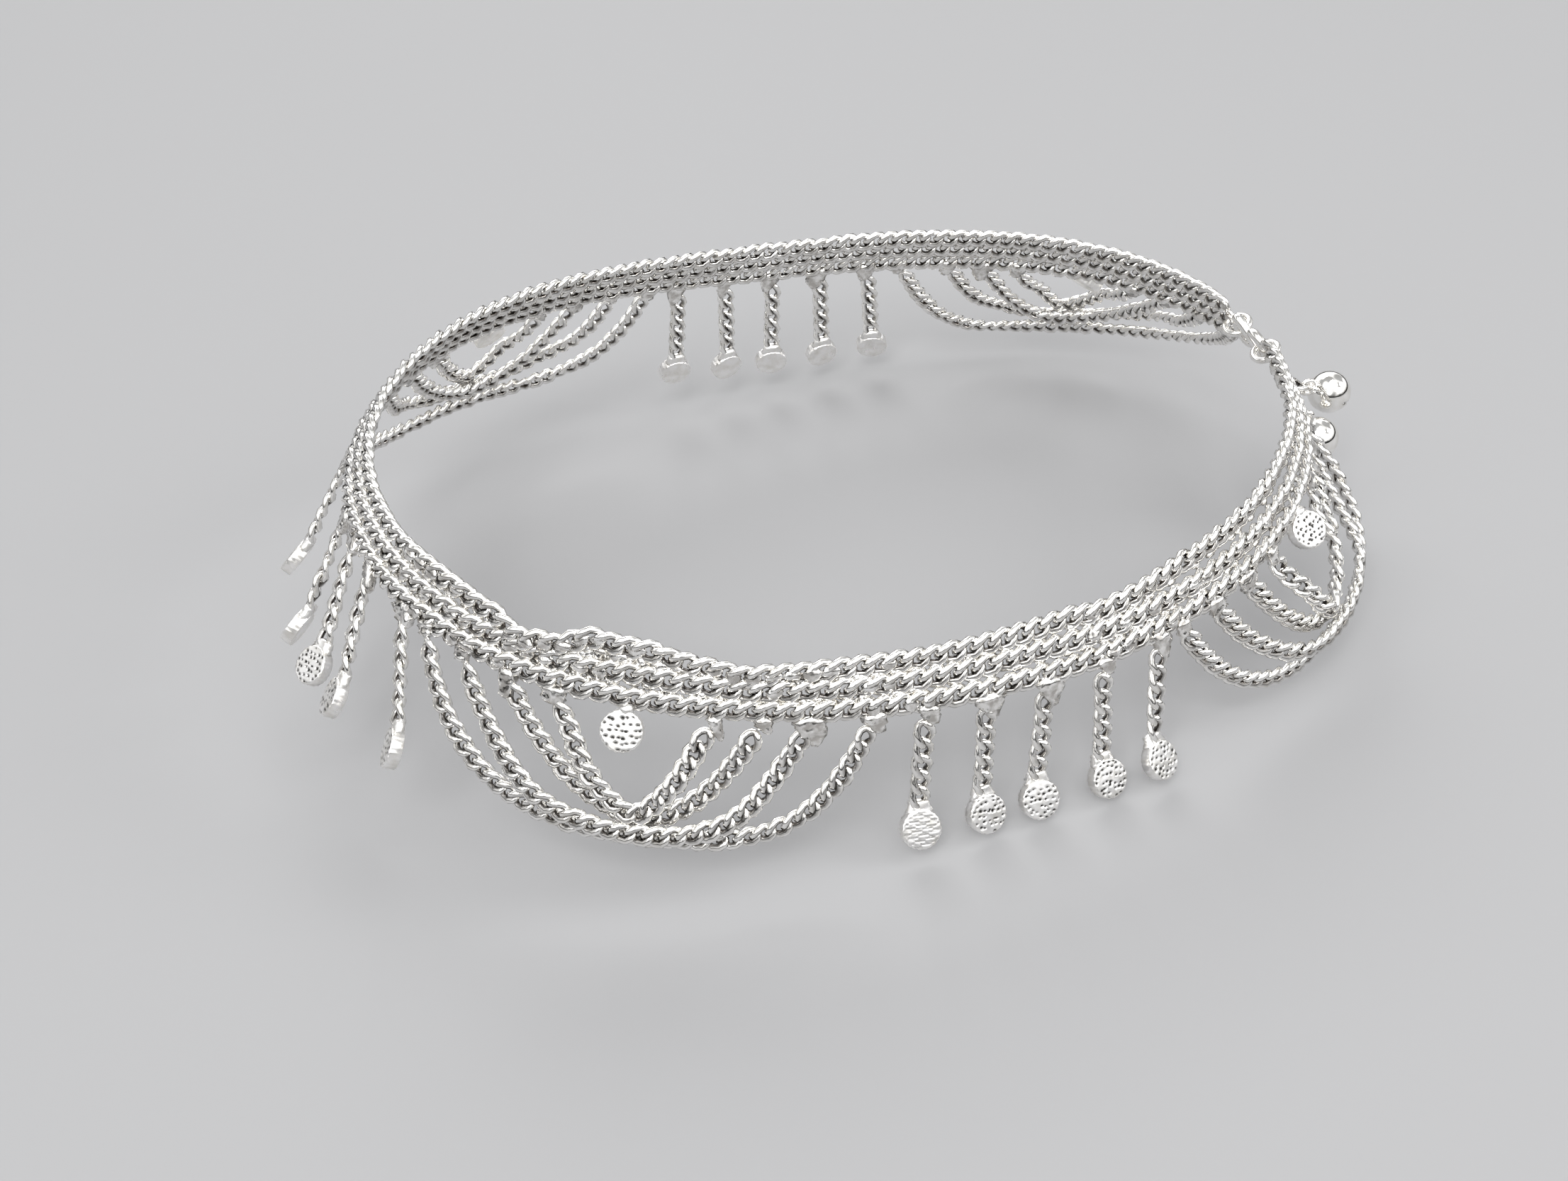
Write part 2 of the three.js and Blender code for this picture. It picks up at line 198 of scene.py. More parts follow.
def join(parts):
    # several shapes as one, each part's faces counted on from the points before it
    points, faces, paintedShade, start = [], [], [], 0
    for somePoints, someFaces, *dark in parts:
        points.append(somePoints)
        faces += (np.array(face) + start for face in someFaces)
        # each part's painted shade, none for parts without it
        paintedShade.append(dark[0] if dark else np.zeros(len(somePoints)))
        start += len(somePoints)
    return np.concatenate(points), faces, np.concatenate(paintedShade)


def bare(shape):
    # a shape without its painted shade
    return shape[:2]


linkForm = dict(
    firstRing=0.2, firstSide=0.3,          # radians, so that no edge falls on the outer face
    crowd=0.16, nudge=1e-3,
    # darkWay, darkGain, darkLevel and darkUnder set the painted shade inside and under each link
    darkWay=(0.6, 1.4, 0), darkGain=1.8, darkLevel=0.5, darkUnder=0.9,
    lift=0.6, turnOver=1.6, growth=1 / 3,  # shares of the jitter
)


def linkShape(size):
    # A curb link: an oval of wire, x = a cos t, side = b sin t, twisted about its length by
    # an angle that goes from +twist at one end to -twist at the other. The wire's section is
    # an ellipse, flatter on the outer face.
    t = np.linspace(0, turn, size["segments"], endpoint=False) + linkForm["firstRing"]
    t = t - linkForm["crowd"] * np.sin(2 * t)     # closer together round the two ends
    v = np.linspace(0, turn, size["sides"], endpoint=False) + linkForm["firstSide"]

    def middle(t):
        half = (size["length"] - size["wire"]) / 2
        side = (size["width"] - size["wireWide"]) / 2
        angle = size["twist"] * np.cos(t)
        return np.stack([
            half * np.cos(t), side * np.sin(t) * np.cos(angle),
            -side * np.sin(t) * np.sin(angle) * size["flat"],
        ], -1)

    way = unit(middle(t + linkForm["nudge"]) - middle(t - linkForm["nudge"]))
    flat = unit(np.cross(way, upward))
    rise = np.cross(flat, way)
    across = flat[:, None, :] * np.cos(v)[None, :, None]
    over = rise[:, None, :] * np.sin(v)[None, :, None]
    shape = (middle(t)[:, None, :] + across * size["wireWide"] / 2 + over * size["wire"] / 2)
    # Painted shade: the inside of the loop and the part that passes under a neighbour are
    # painted dark, gain times the share that faces inward, less a level, plus a part of the depth.
    inward = unit(-middle(t) * linkForm["darkWay"])
    facing = np.sum((across + over) * inward[:, None, :], -1)
    under = np.clip(-middle(t)[:, 2] / size["wire"], 0, 1)[:, None]
    paintedShade = facing * linkForm["darkGain"] - linkForm["darkLevel"] + linkForm["darkUnder"] * under
    return shape, np.clip(paintedShade, 0, 1)


def linkLoops(places, along, out, size):
    # A link at each place, its length along the chain and its flat side outward. Each sits a
    # little differently: its axes are tilted and its size grows by normal jitter.
    count = len(places)
    shape, paintedShade = linkShape(size)
    tilt = chance.normal(0, size["jitter"], (count, 3))
    roll = np.radians(size.get("roll", 0))
    out = out * np.cos(roll) - np.cross(out, along) * np.sin(roll)
    side = np.cross(out, along)
    x = unit(along + side * tilt[:, :1] + out * tilt[:, 1:2] * linkForm["lift"])
    z = unit(out + side * tilt[:, 2:3] * linkForm["turnOver"])
    z = unit(z - x * np.sum(x * z, -1, keepdims=True))
    y = np.cross(z, x)
    grow = 1 + chance.normal(0, size["jitter"] * linkForm["growth"], (count, 1, 1, 1))
    points = (places[:, None, None, :] + grow * (
        shape[None, ..., 0:1] * x[:, None, None, :] + shape[None, ..., 1:2] * y[:, None, None, :]
        + shape[None, ..., 2:3] * z[:, None, None, :]))
    faces = tubeFaces(count, size["segments"], size["sides"], True)
    # every link carries the same painted shade
    return points.reshape(-1, 3), faces, np.tile(paintedShade.ravel(), count)


def spread(path, out, first, last, pitch, feel=0.4):
    # Links at an even pitch along a line of points, from first mm after its start to last mm
    # before its end. The direction is taken between feel mm before and after.
    steps = np.linalg.norm(np.diff(path, axis=0), axis=1)
    run = np.concatenate([[0], np.cumsum(steps)])
    length = run[-1] - first - last
    count = int(round(length / pitch)) + 1
    at = first + np.linspace(0, length, count)

    def pick(values, where):
        return np.stack([np.interp(where, run, values[:, i]) for i in range(3)], -1)

    along = unit(pick(path, at + feel) - pick(path, at - feel))
    face = pick(out, at)
    face = unit(face - along * np.sum(face * along, -1, keepdims=True))
    return pick(path, at), along, face


def lump(place, x, y, z, radii, rings=5, sides=8, rough=0.12):
    # a rounded lump of solder: an ellipsoid whose radius varies a little at every point
    v = (np.arange(rings) + 0.5) / rings * np.pi
    u = np.linspace(0, turn, sides, endpoint=False)
    scale = 1 + chance.normal(0, rough, (rings, sides))
    shape = np.stack([
        np.cos(v)[:, None] * np.ones(sides), np.sin(v)[:, None] * np.cos(u),
        np.sin(v)[:, None] * np.sin(u),
    ], -1) * scale[..., None] * np.array(radii)
    return capped(place + shape[..., :1] * x + shape[..., 1:2] * y + shape[..., 2:] * z)


def metal(name, look):
    # Plated metal: colour, roughness and a fine bump all vary with noise on object coordinates,
    # and the colour is painted toward a dark colour by each point's share of painted shade.
    material = bpy.data.materials.new(name)
    material.use_nodes = True
    nodes, links = material.node_tree.nodes, material.node_tree.links
    shader = nodes["Principled BSDF"]
    shader.inputs["Metallic"].default_value = 1
    place = nodes.new("ShaderNodeTexCoord")

    def noise(scale, detail):
        node = nodes.new("ShaderNodeTexNoise")
        node.inputs["Scale"].default_value = scale
        node.inputs["Detail"].default_value = detail
        links.new(place.outputs["Object"], node.inputs["Vector"])
        return node

    colour = nodes.new("ShaderNodeValToRGB")
    colour.color_ramp.elements[0].position = look["shadeFrom"]
    colour.color_ramp.elements[0].color = (*look["shade"], 1)
    colour.color_ramp.elements[1].position = look["toneFrom"]
    colour.color_ramp.elements[1].color = (*look["tone"], 1)
    links.new(noise(look["patch"], look["patchDetail"]).outputs["Fac"], colour.inputs["Fac"])
    # painted shade: each point's share mixes the colour toward the dark colour
    inside = nodes.new("ShaderNodeAttribute")
    inside.attribute_name = "paintedShade"
    darken = nodes.new("ShaderNodeMix")
    darken.data_type = "RGBA"
    darken.inputs["B"].default_value = (*look["dark"], 1)
    links.new(inside.outputs["Fac"], darken.inputs["Factor"])
    links.new(colour.outputs["Color"], darken.inputs["A"])
    links.new(darken.outputs["Result"], shader.inputs["Base Color"])
    rough = nodes.new("ShaderNodeMapRange")
    rough.inputs["From Min"].default_value = 0.3
    rough.inputs["From Max"].default_value = 0.7
    rough.inputs["To Min"].default_value = look["smooth"]
    rough.inputs["To Max"].default_value = look["dull"]
    links.new(noise(look["wear"], look["wearDetail"]).outputs["Fac"], rough.inputs["Value"])
    links.new(rough.outputs["Result"], shader.inputs["Roughness"])
    bump = nodes.new("ShaderNodeBump")
    bump.inputs["Strength"].default_value = look["bump"]
    bump.inputs["Distance"].default_value = look["depth"] * millimetre
    links.new(noise(look["grain"], look["grainDetail"]).outputs["Fac"], bump.inputs["Height"])
    links.new(bump.outputs["Normal"], shader.inputs["Normal"])
    return material


# patch, wear and grain are the scales of the noises for colour, roughness and bump
# dark is the colour of the painted shade inside links and in pits
silver = dict(tone=(0.97, 0.96, 0.94), shade=(0.82, 0.80, 0.76), dark=(0.05, 0.042, 0.036),
              shadeFrom=0.3, toneFrom=0.62, patch=900, patchDetail=3,
              smooth=0.08, dull=0.24, wear=1530, wearDetail=4,
              bump=0.5, depth=0.05, grain=2600, grainDetail=0.5)
chainSilver = metal("chainSilver", silver)
solderSilver = metal("solderSilver", {
    **silver, "shade": (0.55, 0.53, 0.5), "shadeFrom": 0.4, "patch": 1300, "wear": 2210,
    "dull": 0.3, "bump": 0.9, "depth": 0.2, "grain": 1300})
discSilver = metal("discSilver", {
    **silver, "tone": (0.98, 0.97, 0.96), "dark": (0.03, 0.028, 0.026),
    "bump": 0.35, "smooth": 0.26, "dull": 0.4})
plainSilver = metal("plainSilver", {**silver, "smooth": 0.05, "dull": 0.14, "bump": 0.12})
print("finishes ready")


bandLink = dict(length=2.82, width=2.3, wire=0.6, wireWide=0.72, twist=0.95, flat=0.8,
                segments=14, sides=6, jitter=0.05)
# towards the clasp the links lie rolled over more: degrees at two links
bandRoll = dict(links=(30, 48), degrees=(14, 32))
# how the rows wander: at a link, the row's shift down in mm, then its shift out
wander = [
    [(-95, 0, 0), (-70, 0.15, 0), (-50, -0.1, 0), (-30, 0.1, 0), (-12, 0, 0), (-5, -0.25, 0.05),
     (-2.6, 0.1, 0.1), (-0.6, 0.95, 0.3), (1.2, 0.35, 0.25), (3.3, -0.95, 0.1), (6.2, -0.85, 0),
     (8.8, -0.1, 0), (11, 0.35, 0.1), (13.5, 0.15, 0), (17, -0.2, 0), (26, -0.25, 0),
     (28.5, -0.4, 0), (31, 0.15, 0), (34, -0.1, 0), (37, -0.4, 0), (47, -0.3, 0), (54, 0, 0),
     (61, 0, 0)],
    [(-95, 0, 0), (-60, -0.12, 0), (-40, 0.1, 0), (-12, 0, 0), (-2.5, 0.1, 0), (0, 0.3, -0.25),
     (2.5, -0.1, -0.1), (5.5, -0.5, 0), (8.5, -0.42, 0), (11.5, -0.1, 0), (16, -0.2, 0),
     (26, -0.25, 0), (31, 0, 0), (61, 0, 0)],
    [(-95, 0, 0), (-66, 0.14, 0), (-45, 0, 0), (-12, 0.1, 0), (-2, 0.05, 0), (4, -0.2, 0),
     (10, -0.3, 0), (16, -0.15, 0), (26, 0, 0), (28.5, 0.12, 0), (31, 0.1, 0), (61, 0, 0)],
]
# where solder closes the links: middle link, reach in links, and how likely in each row
floods = [
    dict(link=1.5, reach=3.2, chance=(0.75, 0.8, 0.15)),
    dict(link=12.8, reach=3.4, chance=(0.9, 0.25, 0.1)),
    dict(link=18.3, reach=0.9, chance=(0.9, 0.9, 0.2)),
    dict(link=-7.0, reach=4.0, chance=(0.3, 0.5, 0.25)),
    dict(link=33.0, reach=5.0, chance=(0.3, 0.55, 0.35)),
    dict(link=-52.0, reach=4.0, chance=(0.6, 0.4, 0.2)),
    dict(link=-75.0, reach=5.0, chance=(0.3, 0.6, 0.3)),
]
floodAnywhere = 0.1
# lumps of solder: each pair is the range that a size or a place is drawn from, in mm
linkSolder = dict(out=(0.2, 0.36), long=(0.6, 0.85), wide=(0.5, 0.75), thick=(0.22, 0.32))
jointSolder = dict(without=0.25, sunk=(0.0, 0.2), aside=(-0.5, 0.5), radii=(0.55, 0.3, 0.24))
gapSolder = dict(firstLink=1.2, lastLink=9.5, every=0.45, stray=0.12, out=(-0.3, 0),
                 long=(0.45, 0.7), wide=0.35, thick=(0.25, 0.35), rings=7, sides=10, rough=0.16)


def rowShift(row, link):
    # the wander of a row: a smooth step 3uu - 2uuu from each noted link to the next
    notes = np.array(wander[row])
    i = np.clip(np.searchsorted(notes[:, 0], link) - 1, 0, len(notes) - 2)
    u = np.clip((link - notes[i, 0]) / (notes[i + 1, 0] - notes[i, 0]), 0, 1)[:, None]
    return notes[i, 1:] + (notes[i + 1, 1:] - notes[i, 1:]) * (u * u * (3 - 2 * u))


def flooded(row, link):
    # drawn true by each flood's chance, which falls off as exp of -(distance / reach)^4
    share = floodAnywhere + sum(
        flood["chance"][row] * np.exp(-((link - flood["link"]) / flood["reach"]) ** 4)
        for flood in floods)
    return chance.uniform(0, 1, len(link)) < share


bandLumps = []
for row in range(band["rows"]):
    fine = np.linspace(band["firstLink"], band["lastLink"], band["pathPoints"])
    station = stationAt(fine)
    face = slopeOut(station["outward"], station["bandFlare"])
    shift = rowShift(row, fine)
    path = drape(fine, (row + 0.5) * band["rowWidth"])
    path = (path + slopeDown(station["outward"], station["bandFlare"]) * shift[:, :1]
            + face * shift[:, 1:])
    ends = bandLink["length"] / 2
    places, along, out = spread(path, face, ends, ends, band["pitch"])
    link = np.linspace(band["firstLink"], band["lastLink"], len(places))
    roll = np.interp(link, bandRoll["links"], bandRoll["degrees"])[:, None]
    loops = linkLoops(places, along, out, {**bandLink, "roll": roll})
    addMesh(f"bandRow{row + 1}", loops, chainSilver, ["band"])
    # solder that closes some of the links and the joint to the row below
    side = np.cross(out, along)
    for i in np.flatnonzero(flooded(row, link)):
        at = places[i] + along[i] * band["pitch"] / 2 + out[i] * chance.uniform(*linkSolder["out"])
        radii = [chance.uniform(*linkSolder[way]) for way in ("long", "wide", "thick")]
        bandLumps.append(lump(at, along[i], side[i], out[i], radii))
    if row < band["rows"] - 1:
        for i in np.flatnonzero(chance.uniform(0, 1, len(places)) > jointSolder["without"]):
            sunk = chance.uniform(*jointSolder["sunk"])
            at = places[i] - side[i] * band["rowWidth"] / 2 - out[i] * sunk
            at = at + along[i] * chance.uniform(*jointSolder["aside"])
            bandLumps.append(lump(at, along[i], side[i], out[i], jointSolder["radii"]))
# the two upper rows part where the top row buckles, and solder fills the opening
for link in np.arange(gapSolder["firstLink"], gapSolder["lastLink"], gapSolder["every"]):
    station = stationAt(link)
    down = slopeDown(station["outward"], station["bandFlare"])
    out = slopeOut(station["outward"], station["bandFlare"])
    shifts = [rowShift(row, np.array([link]))[0, 0] for row in (0, 1)]
    middle = band["rowWidth"] + np.mean(shifts) + chance.normal(0, gapSolder["stray"])
    at = station["edge"] + down * middle + out * chance.uniform(*gapSolder["out"])
    radii = (chance.uniform(*gapSolder["long"]), gapSolder["wide"] + (shifts[1] - shifts[0]) / 2,
             chance.uniform(*gapSolder["thick"]))
    bandLumps.append(lump(at, station["along"], down, out, radii,
                          gapSolder["rings"], gapSolder["sides"], gapSolder["rough"]))
print("band rows ready")


# a wedge of solder: root in the band and length below it, wide at the root, narrow at the tip
plainWedge = dict(rings=9, sides=14, rough=0.04, vary=0, slant=0, taper=1.7, square=0.7,
                  blunt=8, tip=0.25)
tab = dict(root=0.7, length=1.7, wide=2.5, narrow=0.6, thick=0.95, rough=0.13, vary=0.2, slant=0.5)
leftTab = {**tab, "slant": 0.1, "wide": 2.0, "narrow": 1.3, "length": 1.2}
dropTab = {**tab, "slant": 0.75}


def solderWedge(frameAt, size):
    # A tapered bar with a rounded oblong section, uneven all over. Its width goes from wide
    # to narrow with u^taper, u from 0 at the root to 1 at the tip, and its middle leans to
    # one side by slant u. Both ends are rounded off by the root of 1 - (2u - 1)^blunt.
    size = {**plainWedge, **size}
    origin, x, y, z = frameAt
    u = np.linspace(0, 1, size["rings"])
    v = np.linspace(0, turn, size["sides"], endpoint=False)
    vary = 1 + chance.normal(0, size["vary"], 3)
    at = -size["root"] + (size["root"] + size["length"] * vary[0]) * u
    width = (size["wide"] + (size["narrow"] - size["wide"]) * u ** size["taper"]) * vary[1]
    ends = np.sqrt(np.clip(1 - (2 * u - 1) ** size["blunt"], 0, 1))
    ends = np.clip(ends, size["tip"], 1)
    rough = 1 + chance.normal(0, size["rough"], (size["rings"], size["sides"]))

    def squarish(w):
        return np.sign(w) * np.abs(w) ** size["square"]

    across = (width * ends / 2)[:, None] * squarish(np.cos(v)) * rough
    across = across + size["slant"] * vary[2] * u[:, None]
    over = (size["thick"] * ends / 2)[:, None] * squarish(np.sin(v)) * rough
    return capped(origin + at[:, None, None] * x + across[..., None] * y + over[..., None] * z)


swagLink = dict(length=2.48, width=2.06, wire=0.56, wireWide=0.68, twist=0.9, flat=0.85,
                segments=14, sides=6, jitter=0.07)
# end is how far the first link's middle lies from the band's edge along the chain
swagSpread = dict(end=1.9, pitch=1.385, pathPoints=1200)
# left and right in links from the swag's middle, low where it hangs lowest, depth in mm;
# lift is how far its bottom rides over the chain below
swagChains = [
    dict(left=-11.9, right=11.9, low=0.8, depth=11.1, fullness=3.6, lift=0),
    dict(left=-9.4, right=8.6, low=0.2, depth=10.3, fullness=2.5, lift=1.3),
    dict(left=-6.7, right=6.2, low=0.2, depth=9.4, fullness=1.8, lift=0),
    dict(left=-4.2, right=3.8, low=0, depth=8.6, fullness=1.4, lift=1.3),
]
swagLift = dict(over=0.45, ramp=0.4)     # shares of the half chain: lifted, then coming down
# slide moves the low points along the band and squeeze narrows the right half; roll turns
# the links over and discSpin turns the small disc in the middle, in degrees
swags = [
    dict(name="front_outer", middle=47.4, slide=-2.2, squeeze=0.68, roll=34, discSpin=26),
    dict(name="heel_outer", middle=5.4, slide=0, squeeze=1, roll=0, discSpin=-8),
    dict(name="heel_inner", middle=-36.6, slide=0, squeeze=1, roll=0, discSpin=4),
    dict(name="front_inner", middle=-78.6, slide=1.5, squeeze=1, roll=0, discSpin=16),
]


def swagLine(swag, row, t):
    # Where a swag's chain runs, t from -1 at its left end to 1 at its right end: the link
    # goes evenly to the low point and on, and the depth is depth * (1 - |t|^fullness).
    left = swag["middle"] + row["left"]
    right = swag["middle"] + row["right"] * swag["squeeze"]
    low = swag["middle"] + row["low"] + swag["slide"]
    link = np.where(t < 0, low + (low - left) * t, low + (right - low) * t)
    depth = bandWidth + row["depth"] * (1 - np.abs(t) ** row["fullness"])
    near = np.clip((np.abs(t) - swagLift["over"]) / swagLift["ramp"], 0, 1)
    return link, depth, row["lift"] * (1 - near * near * (3 - 2 * near))


wedges = []
for swag in swags:
    for number, row in enumerate(swagChains):
        link, depth, lift = swagLine(swag, row, np.linspace(-1, 1, swagSpread["pathPoints"]))
        path = drape(link, depth, lift)
        station = stationAt(link)
        face = slopeOut(station["outward"], station["dropFlare"])
        places, along, out = spread(path, face, swagSpread["end"], swagSpread["end"],
                                    swagSpread["pitch"])
        loops = linkLoops(places, along, out, {**swagLink, "roll": swag["roll"]})
        node = f"swag_{swag['name']}_chain_{number + 1}"
        addMesh(f"{node}_links", loops, chainSilver, [node])
        wedges += [solderWedge(hangFrame(link[0]), leftTab), solderWedge(hangFrame(link[-1]), tab)]
print("swags ready")


dropLink = dict(length=2.75, width=2.0, wire=0.56, wireWide=0.66, twist=0.9, flat=0.9,
                segments=14, sides=7, jitter=0.06)
drop = dict(firstLink=2.2, pitch=1.66, links=5, discMiddle=11.8, spacing=3.4)
# tip is how far the discs' feet stand out, in degrees; each drop has its swing to the right
# and the turn of its disc, in degrees, and how far it hangs off its even place, in links
dropGroups = [
    dict(name="side_outer", middle=26.9, tip=25,
         drops=[(-6, 4, 0), (-4, -6, 0), (-6, 5, 0), (-2, -4, 0), (-8, -8, 0.2)]),
    dict(name="heel", middle=-14.9, tip=12,
         drops=[(16, 8, 0), (13, 30, 1.7), (20, -20, 0.5), (18, 12, -0.5), (25, 25, -0.3)]),
    dict(name="side_inner", middle=-57.6, tip=12,
         drops=[(-3, 6, 0), (-1, -5, 0), (2, 8, 0), (1, -6, 0), (4, 4, 0)]),
]
disc = dict(radius=1.75, thick=1.15, round=0.14, bends=4, rings=20, spokes=84, eye=0.02,
            dome=0.06, scallops=22, scallop=0.016, rimOnly=6)
neck = dict(root=0.85, length=0.5, wide=1.8, narrow=2.7, thick=0.95, rough=0.05)
pits = dict(reach=3, step=0.52, stray=0.09, deep=(0.07, 0.15), wide=(0.11, 0.18),
            longer=(1, 1.6), dark=1.2)
streak = dict(width=0.17, waves=3.1, step=2.4, ripples=7, height=0.03, dark=0.6)
# the small disc on the band's edge, and the spot of solder that holds it
bandDisc = dict(higher=0.1, tip=16, aside=-0.6)
discSpot = dict(aside=0.35, out=1 / 3, radii=(0.45, 0.6, 0.3), rings=7, sides=12, rough=0.14)


def pitted(across, along):
    # Rise of a face with small pits, in staggered rows that stray a little, and the painted
    # shade in them. A pit is its depth times exp of -(distance / width)^4.
    index = np.arange(-pits["reach"], pits["reach"] + 1)
    index = np.stack(np.meshgrid(index, index), -1).reshape(-1, 2)
    spots = index * pits["step"] + np.array([pits["step"] / 2, 0]) * (index[:, 1:] % 2)
    spots = spots + chance.normal(0, pits["stray"], spots.shape)
    deep = chance.uniform(*pits["deep"], len(spots))
    wide = chance.uniform(*pits["wide"], len(spots))
    longer = chance.uniform(*pits["longer"], len(spots))
    away = np.hypot(across[..., None] - spots[:, 0], (along[..., None] - spots[:, 1]) * longer)
    pit = np.exp(-(away / wide) ** 4)
    # the darkness is painted shade in the pits, their sum times the pits' dark gain
    return -(deep * pit).sum(-1), np.clip(pit.sum(-1) * pits["dark"], 0, 1)


def streaked(across, along):
    # Rise of a face with rows of short streaks, and painted shade in their low parts: a sine
    # along each row, its phase stepped from row to row, times the sine squared across the row.
    row = np.floor(along / streak["width"])
    phase = row * streak["step"] + np.sin(across * streak["ripples"] + row)
    wiggle = (np.sin(across * streak["waves"] + phase)
              * np.sin(along / streak["width"] * np.pi) ** 2)
    return streak["height"] * wiggle, np.clip(-wiggle, 0, 1) * streak["dark"]


def stampedDisc(frameAt, middle, tip, spin, stamp=pitted, onBand=False):
    # A coin by rings and spokes round its own axis: the face is domed by 1 - r^2 and has the
    # stamp and its painted shade on it, the rim is rounded and has scallops, and the back is
    # plain.
    origin, x, y, z = frameAt
    angle = np.radians(spin)
    y, z = y * np.cos(angle) + z * np.sin(angle), z * np.cos(angle) - y * np.sin(angle)
    origin = origin + x * (middle - disc["radius"])
    lean = np.radians(tip)
    x, z = x * np.cos(lean) + z * np.sin(lean), z * np.cos(lean) - x * np.sin(lean)
    theta = np.linspace(0, turn, disc["spokes"], endpoint=False)
    half, edge = disc["thick"] / 2, disc["round"]
    flat = disc["radius"] - edge
    bend = np.linspace(0, np.pi / 2, disc["bends"])[1:]
    profileR = np.concatenate([
        np.linspace(disc["eye"], 1, disc["rings"]) * flat, flat + edge * np.sin(bend),
        flat + edge * np.cos(bend[:-1]), [flat, disc["eye"]]])
    profileH = np.concatenate([
        np.full(disc["rings"], half), half - edge + edge * np.cos(bend),
        -half + edge - edge * np.sin(bend[:-1]), [-half, -half]])
    outer = (profileR[:, None] / disc["radius"]) ** disc["rimOnly"]
    scallop = disc["scallop"] * np.cos(disc["scallops"] * theta + spin)
    radius = profileR[:, None] * (1 + scallop * outer)
    across, along = radius * np.sin(theta), radius * np.cos(theta)
    onFace = (np.arange(len(profileR)) < disc["rings"])[:, None]
    rise, dark = stamp(across, along)
    height = np.repeat(profileH[:, None], disc["spokes"], 1)
    height = height + onFace * disc["dome"] * (1 - (radius / disc["radius"]) ** 2) + onFace * rise
    centre = origin + x * disc["radius"]
    coin = capped(centre + along[..., None] * x + across[..., None] * y + height[..., None] * z)
    # painted shade from the stamp on the face only; none on the rim, the back or the two middle
    # points
    coin = (*coin, np.concatenate([(onFace * dark).ravel(), [0, 0]]))
    if onBand:
        spot = origin + y * discSpot["aside"] + z * disc["thick"] * discSpot["out"]
        return [coin, lump(spot, x, y, z, discSpot["radii"], discSpot["rings"],
                           discSpot["sides"], discSpot["rough"])]
    return [coin, solderWedge((origin, x, y, z), neck)]


for group in dropGroups:
    for number, (swing, spin, shift) in enumerate(group["drops"]):
        hang = hangFrame(group["middle"] + drop["spacing"] * (number - 2) + shift, swing)
        origin, x, y, z = hang
        wedges.append(solderWedge(hang, dropTab))
        # the chain turns evenly from the band to the disc
        at = drop["firstLink"] + drop["pitch"] * np.arange(drop["links"])
        about = np.radians(spin) * at / drop["discMiddle"]
        out = z * np.cos(about)[:, None] - y * np.sin(about)[:, None]
        loops = linkLoops(origin + at[:, None] * x, np.repeat(x[None], len(at), 0), out, dropLink)
        node = f"drop_{group['name']}_chain_{number + 1}"
        addMesh(f"{node}_links", loops, chainSilver, [node])
        node = f"drop_{group['name']}_disc_{number + 1}"
        stamp = streaked if group["name"] == "side_outer" and number == 0 else pitted
        coin = join(stampedDisc(hang, drop["discMiddle"], group["tip"], spin, stamp))
        addMesh(f"{node}_stamped", coin, discSilver, [node])
print("drops ready")

# discs on the band's lower edge, in the middle of each swag
bandDiscs = []
for swag in swags:
    spot = hangFrame(swag["middle"] + bandDisc["aside"])
    bandDiscs += stampedDisc(spot, disc["radius"] - bandDisc["higher"], bandDisc["tip"],
                             swag["discSpin"], onBand=True)
addMesh("bandDiscs", join(bandDiscs), discSilver, ["band"])
addMesh("bandSolder", bare(join(bandLumps)), solderSilver, ["band"])


bells = {
    "bell_upper": dict(link=59.8, lean=66, swing=6),
    "bell_lower": dict(link=58.2, lean=31, swing=-2),
}
bell = dict(radius=2.15, wall=0.3, slit=0.45, slitHalf=78, slitEase=7, ring=0.75, wire=0.5,
            ringEnd=2.48, around=64, up=16, pole=0.97, weld=0.02)
bellLink = {**dropLink, "length": 2.7, "width": 1.8, "wireWide": 0.52, "jitter": 0, "middle": 2.15}
bellNeck = dict(root=0.35, length=0.35, wide=1.1, narrow=1.5, thick=0.9)


def ringWire(centre, x, y, radius, wire, segments=24, sides=10):
    # a round wire carried round a circle in the plane of x and y
    t = np.linspace(0, turn, segments, endpoint=False)
    v = np.linspace(0, turn, sides, endpoint=False)
    outward = np.cos(t)[:, None] * x + np.sin(t)[:, None] * y
    grid = (centre + outward[:, None, :] * (radius + wire / 2 * np.cos(v)[None, :, None])
            + np.cross(x, y) * (wire / 2 * np.sin(v))[None, :, None])
    return grid.reshape(-1, 3), tubeFaces(1, segments, sides, True)[:, ::-1]


